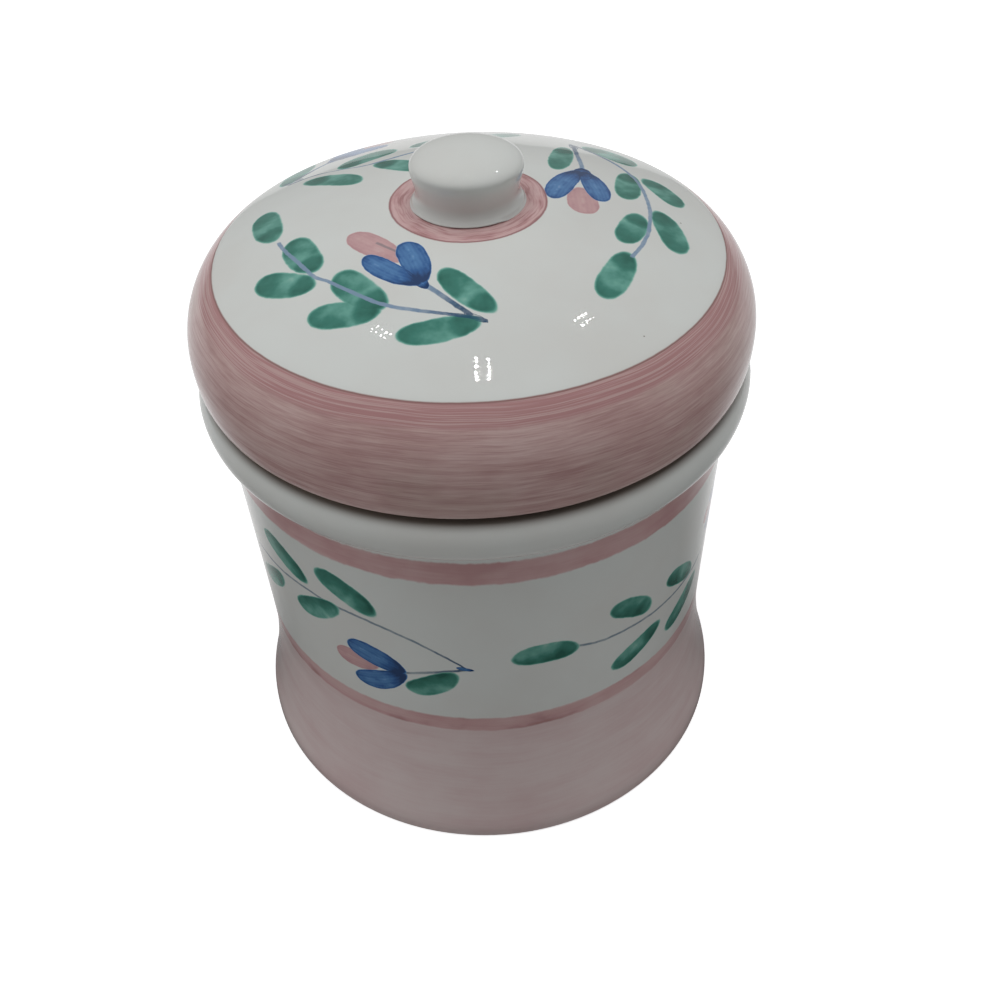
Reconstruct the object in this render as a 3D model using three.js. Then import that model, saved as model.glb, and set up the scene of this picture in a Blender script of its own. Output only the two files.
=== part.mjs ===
// Glazed earthenware canister: a waisted round jar on a flared foot, and a domed lid with a rolled rim and a knob.
// Millimetres, +Z up, with the jar's foot standing on Z = 0 and the turning axis on Z.
import * as THREE from "three";

// Jar outside, from the floor up: foot band, flare, tapered wall and a rolled collar that is rounded over to the rim.
const WAIST_RADIUS = 71.0;
const FOOT_FLARE = 6.6;
const FOOT_BAND = 5.0;
const FOOT_EDGE_ROUND = 1.2;
const FLARE_LENGTH = 40.0;
const FLARE_BEND = 17.0;
const FLARE_EASE = 1.0;
const WALL_LENGTH = 77.1;
const WALL_TAPER = 2.0;
const NECK_FILLET = 1.2;
const COLLAR_PROUD = 5.3;
const COLLAR_SINK = 0.7;
const COLLAR_LOWER = 8.6;
const COLLAR_UPPER = 5.7;
const COLLAR_ROLL_HALF_HEIGHT = 8.3;
const COLLAR_TOP_ROUND = 4.8;
const RIM_EDGE_ROUND = 1.2;

// Jar inside and underside.
const JAR_WALL = 5.5;
const JAR_FLOOR = 6.0;
const FLOOR_CORNER_ROUND = 11.0;
const INNER_FLARE = 2.9;
const COLLAR_WALL = 7.7;
const MOUTH_DEPTH = 10.0;
const MOUTH_SHOULDER = 10.0;
const FOOT_RING_WIDTH = 9.5;
const FOOT_RECESS = 2.5;

// Lid outside: rolled rim, soft edge and shallow dome.
const LID_INSET = 0.6;
const LID_LOWER = 8.9;
const LID_FOOT_ROUND = 1.2;
const LID_ROLL_CURVE = 24.0;
const LID_EDGE_INSET = 10.1;
const LID_EDGE_SOFTNESS = 1.4;
const DOME_CURVE = 171.0;

// Lid inside: hollow roll and the flange that drops into the mouth.
const LID_WALL = 5.8;
const POCKET_CORNER = 1.5;
const FLANGE_WALL = 5.0;
const FLANGE_DEPTH = 13.1;
const FLANGE_ROOT_ROUND = 2.0;
const FLANGE_END_ROUND = 1.4;
const FLANGE_BEAD = 0.9;
const FLANGE_BEAD_HEIGHT = 1.7;
const FLANGE_BEAD_ROUND = 0.7;

// Knob, made by itself and luted onto the dome.
const KNOB_RADIUS = 14.8;
const KNOB_WAIST = 2.0;
const KNOB_SPREAD = 2.4;
const KNOB_NECK = 1.1;
const KNOB_SWELL = 8.2;
const KNOB_TUCK = 1.3;
const KNOB_CROWN = 4.35;
const KNOB_FULLNESS = 2.3;

// Soft sealing ring worn on the flange.
const SEAL_SLEEVE = 1.6;
const SEAL_LIP = 1.1;
const SEAL_LIP_WIDTH = 5.8;
const SEAL_FIN = 0.9;
const SEAL_FIN_REACH = 1.7;
const SEAL_FIN_PITCH = 3.8;

// Clearances.
const SEAT_CLEARANCE = 0.3;
const LUTING_CLEARANCE = 0.3;

const TURN_STEPS = 56;
const KNOB_TURN_STEPS = 40;

// Places that follow from the sizes above.
const footRadius = WAIST_RADIUS + FOOT_FLARE;
const neckRadius = WAIST_RADIUS + WALL_TAPER;
const collarRadius = neckRadius + COLLAR_PROUD;
const mouthRadius = collarRadius - COLLAR_WALL;
const waistHeight = FOOT_BAND + FLARE_LENGTH;
const neckHeight = waistHeight + WALL_LENGTH;
const collarHeight = neckHeight + COLLAR_LOWER;
const rimHeight = collarHeight + COLLAR_UPPER;
const sealLipLow = rimHeight + SEAT_CLEARANCE;
const sealLipTop = sealLipLow + SEAL_LIP;
const lidSeatHeight = sealLipTop + SEAT_CLEARANCE;
const finRadius = mouthRadius - SEAT_CLEARANCE;
const sleeveRadius = finRadius - SEAL_FIN_REACH;
const sleeveInnerRadius = sleeveRadius - SEAL_SLEEVE;
const flangeRadius = sleeveInnerRadius - SEAT_CLEARANCE;
const flangeLow = lidSeatHeight - FLANGE_DEPTH;
const sleeveLow = flangeLow + FLANGE_BEAD_HEIGHT + SEAT_CLEARANCE;
const rollRadius = collarRadius - LID_INSET;
const rollHeight = lidSeatHeight + LID_LOWER;
const rollCentre = rollRadius - LID_ROLL_CURVE;
const edgeRadius = rollRadius - LID_EDGE_INSET;
const rollEnd = Math.acos((edgeRadius - rollCentre) / LID_ROLL_CURVE);
const edgeHeight = rollHeight + LID_ROLL_CURVE * Math.sin(rollEnd);
const domeCentre = edgeHeight - Math.sqrt(DOME_CURVE ** 2 - edgeRadius ** 2);

function domeHeight(radius, curve) {
  return domeCentre + Math.sqrt(curve ** 2 - radius ** 2);
}

// Points of an elliptical arc in the turning plane, angles in radians from straight out.
function arc(centre, size, from, to, count) {
  const points = [];
  for (let i = 0; i <= count; i += 1) {
    const angle = from + ((to - from) * i) / count;
    points.push([centre[0] + size[0] * Math.cos(angle), centre[1] + size[1] * Math.sin(angle)]);
  }
  return points;
}

// Points of a curve that leaves the first point towards the corner and arrives from it.
function bend(first, corner, last, count) {
  const points = [];
  for (let i = 0; i <= count; i += 1) {
    const t = i / count;
    const a = (1 - t) * (1 - t);
    const b = 2 * t * (1 - t);
    const c = t * t;
    points.push([
      a * first[0] + b * corner[0] + c * last[0],
      a * first[1] + b * corner[1] + c * last[1],
    ]);
  }
  return points;
}

// Points of a quarter of a rounded square, from straight out to straight up: fullness 2 gives an ellipse.
function crown(centre, size, fullness, count) {
  const points = [];
  for (let i = 0; i <= count; i += 1) {
    const angle = (0.5 * Math.PI * i) / count;
    points.push([
      centre[0] + size[0] * Math.max(0, Math.cos(angle)) ** (2 / fullness),
      centre[1] + size[1] * Math.sin(angle) ** (2 / fullness),
    ]);
  }
  points[count][0] = centre[0];
  return points;
}

// Two bends in a row that step from one radius and height to another, upright at both ends.
function step(first, last, count) {
  const middle = [0.5 * (first[0] + last[0]), 0.5 * (first[1] + last[1])];
  return [
    ...bend(first, [first[0], middle[1]], middle, count),
    ...bend(middle, [last[0], middle[1]], last, count),
  ];
}

// One solid turned about Z from its section: out along the underside, up the outside and back down the inside.
function turned(name, section, material, steps) {
  const points = [];
  for (const [r, z] of section) {
    const last = points[points.length - 1];
    const apart = last ? Math.hypot(last.x - r, last.y - z) : 1;
    if (apart > 0.02) points.push(new THREE.Vector2(r, z));
  }
  const geometry = new THREE.LatheGeometry(points, steps);
  geometry.rotateX(Math.PI / 2);
  const mesh = new THREE.Mesh(geometry, material);
  mesh.name = name;
  return mesh;
}

const jarGlaze = new THREE.MeshStandardMaterial({ name: "jar_glaze", color: 0xe6e4de, roughness: 0.15 });
const lidGlaze = new THREE.MeshStandardMaterial({ name: "lid_glaze", color: 0xe0d3d0, roughness: 0.15 });
const knobGlaze = new THREE.MeshStandardMaterial({ name: "knob_glaze", color: 0xe6e4de, roughness: 0.15 });
const softSeal = new THREE.MeshStandardMaterial({ name: "soft_seal", color: 0xe2e0d8, roughness: 0.6 });

// Jar
const floorTop = FOOT_RECESS + JAR_FLOOR;
const innerWaist = WAIST_RADIUS - JAR_WALL;
const innerNeck = neckRadius - JAR_WALL;
const innerFoot = innerWaist + INNER_FLARE;
const mouthLow = rimHeight - MOUTH_DEPTH;
const footRingInner = footRadius - FOOT_EDGE_ROUND - FOOT_RING_WIDTH;
const collarCentre = [neckRadius - COLLAR_SINK, collarHeight];
const collarSize = [COLLAR_PROUD + COLLAR_SINK, COLLAR_ROLL_HALF_HEIGHT];
const collarLow = Math.asin(-COLLAR_LOWER / (COLLAR_ROLL_HALF_HEIGHT + NECK_FILLET));
const collarArc = arc(collarCentre, collarSize, collarLow, 0, 6);
const jarSection = [
  [0, FOOT_RECESS],
  ...bend(
    [footRingInner - FOOT_RECESS, FOOT_RECESS],
    [footRingInner - 0.4 * FOOT_RECESS, FOOT_RECESS],
    [footRingInner, 0],
    3,
  ),
  ...arc([footRadius - FOOT_EDGE_ROUND, FOOT_EDGE_ROUND], [FOOT_EDGE_ROUND, FOOT_EDGE_ROUND], -Math.PI / 2, 0, 4),
  ...bend(
    [footRadius, FOOT_BAND],
    [WAIST_RADIUS + FLARE_EASE, FOOT_BAND + FLARE_BEND],
    [WAIST_RADIUS, waistHeight],
    8,
  ),
  ...bend([neckRadius, neckHeight - NECK_FILLET], [neckRadius, neckHeight + 0.5 * NECK_FILLET], collarArc[0], 3),
  ...collarArc,
  ...arc([collarRadius - COLLAR_TOP_ROUND, collarHeight], [COLLAR_TOP_ROUND, COLLAR_UPPER], 0, Math.PI / 2, 7),
  ...arc(
    [mouthRadius + RIM_EDGE_ROUND, rimHeight - RIM_EDGE_ROUND],
    [RIM_EDGE_ROUND, RIM_EDGE_ROUND],
    Math.PI / 2,
    Math.PI,
    3,
  ),
  ...step([mouthRadius, mouthLow], [innerNeck, mouthLow - MOUTH_SHOULDER], 3),
  ...bend(
    [innerWaist, waistHeight],
    [innerWaist, FOOT_BAND + FLARE_BEND + FLOOR_CORNER_ROUND],
    [innerFoot, floorTop + FLOOR_CORNER_ROUND],
    4,
  ),
  ...arc(
    [innerFoot - FLOOR_CORNER_ROUND, floorTop + FLOOR_CORNER_ROUND],
    [FLOOR_CORNER_ROUND, FLOOR_CORNER_ROUND],
    0,
    -Math.PI / 2,
    5,
  ),
  [0, floorTop],
];

// Lid
const knobNeckRadius = KNOB_RADIUS - KNOB_WAIST;
const knobBaseRadius = knobNeckRadius + KNOB_SPREAD;
const flangeInner = flangeRadius - FLANGE_WALL;
const beadRadius = flangeRadius + FLANGE_BEAD;
const lidFootRadius = rollRadius - LID_FOOT_ROUND;
const innerRoll = LID_ROLL_CURVE - LID_WALL;
const innerDome = DOME_CURVE - LID_WALL;
const innerEdge = rollCentre + innerRoll * Math.cos(rollEnd);
const pocketLow = lidSeatHeight + LID_WALL;
const pocketStart = Math.asin((pocketLow + POCKET_CORNER - rollHeight) / innerRoll);
const pocketOuter = rollCentre + innerRoll * Math.cos(pocketStart);
const domeTop = domeHeight(knobBaseRadius, DOME_CURVE);
const domeInner = edgeRadius - LID_EDGE_SOFTNESS;
const rollStop = rollEnd - LID_EDGE_SOFTNESS / LID_ROLL_CURVE;
const rollArc = arc([rollCentre, rollHeight], [LID_ROLL_CURVE, LID_ROLL_CURVE], 0, rollStop, 9);
const underDome = [0, 0.22, 0.42, 0.6, 0.78, 0.92].map((share) => {
  const radius = share * innerEdge;
  return [radius, domeHeight(radius, innerDome)];
});
const overDome = [0.78, 0.6, 0.42, 0.22, 0].map((share) => {
  const radius = knobBaseRadius + share * (edgeRadius - knobBaseRadius);
  return [radius, domeHeight(radius, DOME_CURVE)];
});
const lidSection = [
  ...underDome,
  ...arc([rollCentre, rollHeight], [innerRoll, innerRoll], rollEnd, pocketStart, 5),
  [pocketOuter - POCKET_CORNER, pocketLow],
  ...bend(
    [flangeInner + FLANGE_ROOT_ROUND, pocketLow],
    [flangeInner, pocketLow],
    [flangeInner, pocketLow - FLANGE_ROOT_ROUND],
    3,
  ),
  ...arc(
    [flangeInner + FLANGE_END_ROUND, flangeLow + FLANGE_END_ROUND],
    [FLANGE_END_ROUND, FLANGE_END_ROUND],
    Math.PI,
    1.5 * Math.PI,
    3,
  ),
  ...bend(
    [beadRadius - FLANGE_BEAD_ROUND, flangeLow],
    [beadRadius, flangeLow],
    [beadRadius, flangeLow + FLANGE_BEAD_ROUND],
    2,
  ),
  [beadRadius, flangeLow + 0.75 * FLANGE_BEAD_HEIGHT],
  [flangeRadius, flangeLow + FLANGE_BEAD_HEIGHT],
  [flangeRadius, lidSeatHeight],
  ...bend(
    [lidFootRadius - LID_FOOT_ROUND, lidSeatHeight],
    [lidFootRadius, lidSeatHeight],
    [lidFootRadius + 0.2 * LID_FOOT_ROUND, lidSeatHeight + LID_FOOT_ROUND],
    3,
  ),
  ...bend(
    [lidFootRadius + 0.2 * LID_FOOT_ROUND, lidSeatHeight + LID_FOOT_ROUND],
    [rollRadius, lidSeatHeight + 2.4 * LID_FOOT_ROUND],
    [rollRadius, rollHeight],
    3,
  ),
  ...rollArc,
  ...bend(rollArc[rollArc.length - 1], [edgeRadius, edgeHeight], [domeInner, domeHeight(domeInner, DOME_CURVE)], 2),
  ...overDome,
  [0, domeTop],
];

// Knob
const knobLow = domeTop + LUTING_CLEARANCE;
const knobNeck = knobLow + KNOB_NECK;
const knobWidest = knobNeck + KNOB_SWELL;
const knobSection = [
  [0, knobLow],
  ...bend([knobBaseRadius, knobLow], [knobNeckRadius, knobLow + 0.2 * KNOB_NECK], [knobNeckRadius, knobNeck], 4),
  ...bend(
    [knobNeckRadius, knobNeck],
    [KNOB_RADIUS - KNOB_TUCK, knobNeck + 0.3 * KNOB_SWELL],
    [KNOB_RADIUS, knobWidest],
    4,
  ),
  ...crown([0, knobWidest], [KNOB_RADIUS, KNOB_CROWN], KNOB_FULLNESS, 8),
];

// Seal
const sealLipRadius = sleeveInnerRadius + SEAL_LIP_WIDTH;
const upperFin = sealLipLow - SEAL_FIN_PITCH;
const lowerFin = upperFin - SEAL_FIN_PITCH;
const sealSection = [
  [sleeveInnerRadius, sleeveLow],
  [sleeveRadius, sleeveLow],
  [sleeveRadius, lowerFin],
  [finRadius, lowerFin + 0.5 * SEAL_FIN],
  [finRadius, lowerFin + SEAL_FIN],
  [sleeveRadius, lowerFin + SEAL_FIN],
  [sleeveRadius, upperFin],
  [finRadius, upperFin + 0.5 * SEAL_FIN],
  [finRadius, upperFin + SEAL_FIN],
  [sleeveRadius, upperFin + SEAL_FIN],
  [sleeveRadius, sealLipLow],
  [sealLipRadius, sealLipLow],
  [sealLipRadius, sealLipTop],
  [sleeveInnerRadius, sealLipTop],
  [sleeveInnerRadius, sleeveLow],
];

const canister = new THREE.Group();
canister.name = "canister";
canister.add(turned("jar_body", jarSection, jarGlaze, TURN_STEPS));
canister.add(turned("lid_seal", sealSection, softSeal, TURN_STEPS));
canister.add(turned("lid_shell", lidSection, lidGlaze, TURN_STEPS));
canister.add(turned("lid_knob", knobSection, knobGlaze, KNOB_TURN_STEPS));

export default canister;
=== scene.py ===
import math

import bmesh
import bpy
from mathutils import Matrix, Vector, noise


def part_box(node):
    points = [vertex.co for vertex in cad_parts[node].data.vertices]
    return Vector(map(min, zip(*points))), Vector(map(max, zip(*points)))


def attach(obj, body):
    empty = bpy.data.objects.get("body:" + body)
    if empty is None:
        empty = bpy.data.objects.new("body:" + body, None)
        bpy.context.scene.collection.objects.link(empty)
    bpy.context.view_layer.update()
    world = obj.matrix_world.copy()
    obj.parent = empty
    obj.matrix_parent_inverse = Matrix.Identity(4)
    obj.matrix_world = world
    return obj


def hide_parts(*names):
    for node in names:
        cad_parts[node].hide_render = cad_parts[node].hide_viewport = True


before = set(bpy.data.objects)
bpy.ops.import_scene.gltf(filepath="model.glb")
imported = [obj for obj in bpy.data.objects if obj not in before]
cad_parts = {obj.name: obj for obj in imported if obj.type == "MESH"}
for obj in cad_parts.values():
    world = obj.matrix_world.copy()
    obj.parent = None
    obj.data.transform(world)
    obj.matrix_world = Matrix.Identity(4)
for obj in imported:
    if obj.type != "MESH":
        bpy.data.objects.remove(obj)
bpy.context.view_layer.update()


# Jar
# A slip-cast earthenware pot with a flared foot, a slightly tapered wall and a rolled collar.
# It is painted by hand under a clear gloss glaze, and only the ring that it stands on is bare.

TURN_STEPS = 72
UNEVENNESS = 0.00016
GLAZE_ROUGHNESS = 0.020
GLAZE_IOR = 1.52
RIPPLE_DEPTH, RIPPLE_STRENGTH = 0.0002, 0.25

WHITE_GLAZE = (0.770, 0.795, 0.770, 1)
WARM_GLAZE = (0.745, 0.750, 0.720, 1)
SPECK_BROWN = (0.16, 0.13, 0.10, 1)
BLOT_BROWN = (0.36, 0.17, 0.165, 1)
BARE_CLAY = (0.66, 0.55, 0.44, 1)
BURNT_CLAY = (0.52, 0.41, 0.31, 1)
PINK_PALE = (0.700, 0.480, 0.475, 1)
PINK_DEEP = (0.610, 0.350, 0.352, 1)
WASH_PALE = (0.800, 0.680, 0.665, 1)
WASH_DEEP = (0.735, 0.565, 0.560, 1)
# Painted shade for the dark gap under the lid's edge.
GAP_SHADE_BROWN = (0.20, 0.135, 0.105, 1)

# Where the painted shade of the gap under the lid lies, in millimetres.
GAP_SHADE_LOW = 133.0
GAP_SHADE_INNER, GAP_SHADE_OUTER = 74.6, 77.0
STRIPE_LOW, STRIPE_HIGH = 111.9, 120.0
FOOT_LINE_LOW, FOOT_LINE_HIGH = 47.8, 53.8
OUTSIDE_RADIUS = 69.7

# Drawing points of the wall spray, in millimetres: left along the wall and up from the foot of the stem.
# A stroke is its start, its end, its width and how far it bows to one side.
SPRAY_BASE_ANGLE = -93.75
SPRAY_SPACING = 90.0
SPRAY_LEAD = 5.0
SPRAY_DEGREE_MM = 1.253
RISING_BASE_HEIGHT = 76.3
FALLING_BASE_HEIGHT = 91.2
STEM_LENGTH = 84.0
STEM_RISE = 20.0
WALL_STEM = [(0.0, 0.0), (0.107, 0.365), (0.205, 0.605), (0.298, 0.73), (0.393, 0.78), (0.524, 0.78),
             (0.655, 0.76), (0.80, 0.71), (1.0, 0.54)]
WALL_BASE_TICK = ((-2.0, -0.2), (3.4, 0.8), 1.5, 0.0)
RISING_SPRAY = {
    "leaves": [
        ((80.6, 11.0), (101.2, 9.6), 9.4, -0.8),
        ((23.6, 17.6), (43.5, 28.0), 9.6, 0.9),
        ((36.0, 16.2), (55.1, 4.9), 8.6, -0.9),
        ((46.2, 18.6), (66.2, 26.2), 9.2, 0.7),
        ((60.0, 12.4), (77.2, 0.4), 7.8, -0.8),
        ((2.4, -2.0), (19.0, -12.2), 8.8, -1.0),
    ],
    "blues": [
        ((17.4, -4.6), (36.4, 1.4), 9.0, 1.0),
        ((17.4, -4.6), (35.4, -14.2), 8.4, -1.2),
        WALL_BASE_TICK,
    ],
    "pinks": [((26.0, -5.0), (41.2, -5.4), 7.8, 0.0)],
    "branches": [((0.6, 0.0), (18.6, -4.4))],
}
FALLING_SPRAY = {
    "leaves": [
        ((80.6, 12.0), (101.2, 10.8), 9.4, -0.8),
        ((28.3, 19.5), (48.2, 29.9), 9.0, 0.9),
        ((33.8, 15.2), (50.2, 5.2), 8.0, -0.9),
        ((50.5, 21.5), (70.5, 29.1), 8.6, 0.7),
        ((56.2, 12.2), (72.0, 1.2), 8.6, -0.8),
        ((2.4, -2.0), (19.0, -12.2), 8.8, -1.0),
    ],
    "blues": [
        ((9.0, 0.6), (25.5, 6.0), 7.4, 0.9),
        ((9.2, 0.2), (24.5, -7.0), 7.4, -1.0),
        WALL_BASE_TICK,
    ],
    "pinks": [((16.0, -0.6), (28.5, -0.8), 7.0, 0.0)],
    "branches": [((0.6, 0.0), (10.0, 0.4))],
}


def turned_piece(node, name, steps, unevenness):
    """A smooth piece spun from the half section of a CAD node, pared by a slight unevenness."""
    shape = bmesh.new()
    shape.from_mesh(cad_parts[node].data)
    bmesh.ops.remove_doubles(shape, verts=shape.verts, dist=2e-6)
    elsewhere = [v for v in shape.verts if v.co.y > 1e-6 or abs(v.co.x) > 1e-6]
    bmesh.ops.delete(shape, geom=elsewhere, context="VERTS")
    bmesh.ops.spin(shape, geom=shape.verts[:] + shape.edges[:], cent=(0, 0, 0), axis=(0, 0, 1),
                   angle=2 * math.pi, steps=steps, use_merge=True)
    bmesh.ops.remove_doubles(shape, verts=shape.verts, dist=2e-6)
    bmesh.ops.recalc_face_normals(shape, faces=shape.faces)
    shape.normal_update()
    for v in shape.verts:
        if v.co.z > 0.003:
            v.co -= v.normal * unevenness * (0.5 + 0.5 * noise.noise(v.co * 28))
    for face in shape.faces:
        face.smooth = True
    mesh = bpy.data.meshes.new(name)
    shape.to_mesh(mesh)
    shape.free()
    piece = bpy.data.objects.new(name, mesh)
    bpy.context.collection.objects.link(piece)
    rounding = piece.modifiers.new("rounding", "SUBSURF")
    rounding.levels = 2
    rounding.render_levels = 2
    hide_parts(node)
    return piece


def add(tree, kind, inputs=None, **settings):
    """A new node with its settings made and its inputs linked or set, by name or place."""
    made = tree.nodes.new(kind)
    for key, value in settings.items():
        setattr(made, key, value)
    for key, value in (inputs or {}).items():
        if isinstance(value, bpy.types.NodeSocket):
            tree.links.new(value, made.inputs[key])
        else:
            made.inputs[key].default_value = value
    return made


def calc(tree, operation, *values):
    """The result of a Math node."""
    return add(tree, "ShaderNodeMath", dict(enumerate(values)), operation=operation).outputs[0]


def vector_calc(tree, operation, *values):
    """The vector or the number that a Vector Math node gives."""
    made = add(tree, "ShaderNodeVectorMath", dict(enumerate(values)), operation=operation)
    return made.outputs["Value" if operation in ("LENGTH", "DOT_PRODUCT", "DISTANCE") else "Vector"]


def ease(tree, value, low, high, start=0.0, end=1.0):
    """A smooth step of the value from start to end, between low and high."""
    made = add(tree, "ShaderNodeMapRange", {0: value, 1: low, 2: high, 3: start, 4: end},
               interpolation_type="SMOOTHSTEP")
    return made.outputs[0]


def mixed(tree, share, first, second):
    """A mix of two colours by a share."""
    return add(tree, "ShaderNodeMix", {0: share, 6: first, 7: second}, data_type="RGBA").outputs[2]


def grain(tree, vector, scale, detail=2.0, rough=0.5):
    """The value of a noise texture."""
    made = add(tree, "ShaderNodeTexNoise",
               {"Vector": vector, "Scale": scale, "Detail": detail, "Roughness": rough})
    return made.outputs[0]


def ramp(tree, value, stops):
    """A colour ramp through the stops, each a place and a colour."""
    made = add(tree, "ShaderNodeValToRGB", {0: value})
    while len(made.color_ramp.elements) < len(stops):
        made.color_ramp.elements.new(0.5)
    for element, (place, colour) in zip(made.color_ramp.elements, stops):
        element.position = place
        element.color = colour
    return made.outputs[0]


def new_group(name, inputs, outputs):
    """An empty shader group with these sockets, and its inside ends."""
    group = bpy.data.node_groups.new(name, "ShaderNodeTree")
    kinds = {"v": "NodeSocketVector", "f": "NodeSocketFloat", "c": "NodeSocketColor"}
    for label, kind in inputs:
        group.interface.new_socket(label, in_out="INPUT", socket_type=kinds[kind])
    for label, kind in outputs:
        group.interface.new_socket(label, in_out="OUTPUT", socket_type=kinds[kind])
    taken = group.nodes.new("NodeGroupInput").outputs
    given = group.nodes.new("NodeGroupOutput").inputs
    return group, taken, given


def placed(tree, group, inputs):
    """A shader group put into a tree; gives its outputs."""
    made = tree.nodes.new("ShaderNodeGroup")
    made.node_tree = group
    for key, value in inputs.items():
        if isinstance(value, bpy.types.NodeSocket):
            tree.links.new(value, made.inputs[key])
        else:
            made.inputs[key].default_value = value
    return made.outputs


# Where a point lies on a turned pot, in millimetres and degrees.
pot_place, taken, given = new_group(
    "pot place", [("Point", "v")],
    [("Place", "v"), ("Radius", "f"), ("Angle", "f"), ("Height", "f"), ("Round", "v")])
place = vector_calc(pot_place, "MULTIPLY", taken["Point"], (1000, 1000, 1000))
parts = add(pot_place, "ShaderNodeSeparateXYZ", {0: place}).outputs
radius = vector_calc(pot_place, "LENGTH", vector_calc(pot_place, "MULTIPLY", place, (1, 1, 0)))
turn = calc(pot_place, "ARCTAN2", parts[1], parts[0])
safe_radius = calc(pot_place, "MAXIMUM", radius, 0.01)
around = add(pot_place, "ShaderNodeCombineXYZ", {
    0: calc(pot_place, "DIVIDE", parts[0], safe_radius),
    1: calc(pot_place, "DIVIDE", parts[1], safe_radius),
    2: parts[2]}).outputs[0]
for label, socket in (("Place", place), ("Radius", radius), ("Height", parts[2]), ("Round", around),
                      ("Angle", calc(pot_place, "DEGREES", turn))):
    pot_place.links.new(socket, given[label])

# The glaze itself: slow clouding, sparse iron specks and the ripple of a dipped surface.
glaze_face, taken, given = new_group(
    "glaze face", [("Place", "v")],
    [("Cloud", "f"), ("Speck", "f"), ("Ripple", "f"), ("Smear", "f"), ("Mottle", "f")])
glaze_face.links.new(grain(glaze_face, taken["Place"], 0.03, 3.0), given["Cloud"])
cells = add(glaze_face, "ShaderNodeTexVoronoi", {"Vector": taken["Place"], "Scale": 0.075})
chance = add(glaze_face, "ShaderNodeSeparateColor", {0: cells.outputs["Color"]}).outputs
dot = ease(glaze_face, cells.outputs["Distance"], 0.013, 0.024, 1.0, 0.0)
glaze_face.links.new(calc(glaze_face, "MULTIPLY", dot, calc(glaze_face, "LESS_THAN", chance[0], 0.22)),
                     given["Speck"])
glaze_face.links.new(grain(glaze_face, taken["Place"], 0.11, 1.0), given["Ripple"])
glaze_face.links.new(grain(glaze_face, taken["Place"], 0.32, 4.0, 0.6), given["Smear"])
glaze_face.links.new(grain(glaze_face, taken["Place"], 0.16, 3.0), given["Mottle"])

# A band laid on with a brush while the pot turns on a wheel.
brushed_band, taken, given = new_group(
    "brushed band",
    [("Round", "v"), ("Across", "f"), ("Low", "f"), ("High", "f"), ("Softness", "f"), ("Wander", "f"),
     ("Fray", "f"), ("Streak Pitch", "f"), ("Breaks", "f")],
    [("Mask", "f"), ("Streak", "f"), ("Broad", "f"), ("Blot", "f")])
slow = grain(brushed_band, vector_calc(brushed_band, "MULTIPLY", taken["Round"], (1.7, 1.7, 0.004)), 1.0, 2.0)
fray = grain(brushed_band, vector_calc(brushed_band, "MULTIPLY", taken["Round"], (24, 24, 0.2)), 1.0, 2.0)
shift = calc(brushed_band, "MULTIPLY", calc(brushed_band, "SUBTRACT", slow, 0.5), taken["Wander"])
shift = calc(brushed_band, "MULTIPLY_ADD", calc(brushed_band, "SUBTRACT", fray, 0.5), taken["Fray"], shift)
across = calc(brushed_band, "ADD", taken["Across"], shift)
rise = ease(brushed_band, across, calc(brushed_band, "SUBTRACT", taken["Low"], taken["Softness"]),
            calc(brushed_band, "ADD", taken["Low"], taken["Softness"]))
fall = ease(brushed_band, across, calc(brushed_band, "SUBTRACT", taken["High"], taken["Softness"]),
            calc(brushed_band, "ADD", taken["High"], taken["Softness"]), 1.0, 0.0)
brushed_band.links.new(calc(brushed_band, "MULTIPLY", rise, fall), given["Mask"])
flat_round = vector_calc(brushed_band, "MULTIPLY", taken["Round"], (1, 1, 0))
pulled = calc(brushed_band, "MULTIPLY_ADD", slow, 3.0, taken["Across"])
lines = add(brushed_band, "ShaderNodeCombineXYZ",
            {2: calc(brushed_band, "DIVIDE", pulled, taken["Streak Pitch"])}).outputs[0]
broken = add(brushed_band, "ShaderNodeVectorMath", {0: flat_round, 3: taken["Breaks"]},
             operation="SCALE").outputs[0]
lines = vector_calc(brushed_band, "ADD", broken, lines)
brushed_band.links.new(grain(brushed_band, lines, 1.0, 3.0, 0.6), given["Streak"])
broad_pitch = calc(brushed_band, "MULTIPLY", taken["Streak Pitch"], 4.5)
lines = add(brushed_band, "ShaderNodeCombineXYZ",
            {2: calc(brushed_band, "DIVIDE", pulled, broad_pitch)}).outputs[0]
lines = vector_calc(brushed_band, "MULTIPLY_ADD", flat_round, (2.2, 2.2, 0), lines)
brushed_band.links.new(grain(brushed_band, lines, 1.0, 2.0, 0.5), given["Broad"])
blots = add(brushed_band, "ShaderNodeCombineXYZ",
            {2: calc(brushed_band, "MULTIPLY", taken["Across"], 0.07)}).outputs[0]
blots = vector_calc(brushed_band, "MULTIPLY_ADD", flat_round, (3.6, 3.6, 0), blots)
brushed_band.links.new(grain(brushed_band, blots, 1.0, 3.0, 0.55), given["Blot"])

# One press of a loaded round brush: how far in a point lies, and how far along and across it.
brush_dab, taken, given = new_group(
    "brush dab",
    [("Point", "v"), ("Start", "v"), ("End", "v"), ("Width", "f"), ("Bow", "f"), ("Belly", "f"),
     ("Blunt", "f")],
    [("Inside", "f"), ("Along", "f"), ("Across", "f")])
run = vector_calc(brush_dab, "SUBTRACT", taken["End"], taken["Start"])
offset = vector_calc(brush_dab, "SUBTRACT", taken["Point"], taken["Start"])
length = vector_calc(brush_dab, "LENGTH", run)
along = calc(brush_dab, "DIVIDE", vector_calc(brush_dab, "DOT_PRODUCT", offset, run),
             calc(brush_dab, "MULTIPLY", length, length))
side = vector_calc(brush_dab, "DOT_PRODUCT", vector_calc(brush_dab, "CROSS_PRODUCT", run, offset), (0, 0, 1))
side = calc(brush_dab, "DIVIDE", side, length)
from_ends = calc(brush_dab, "MULTIPLY", along, calc(brush_dab, "SUBTRACT", 1.0, along))
bowed = calc(brush_dab, "MULTIPLY", from_ends, calc(brush_dab, "MULTIPLY", taken["Bow"], 4.0))
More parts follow.
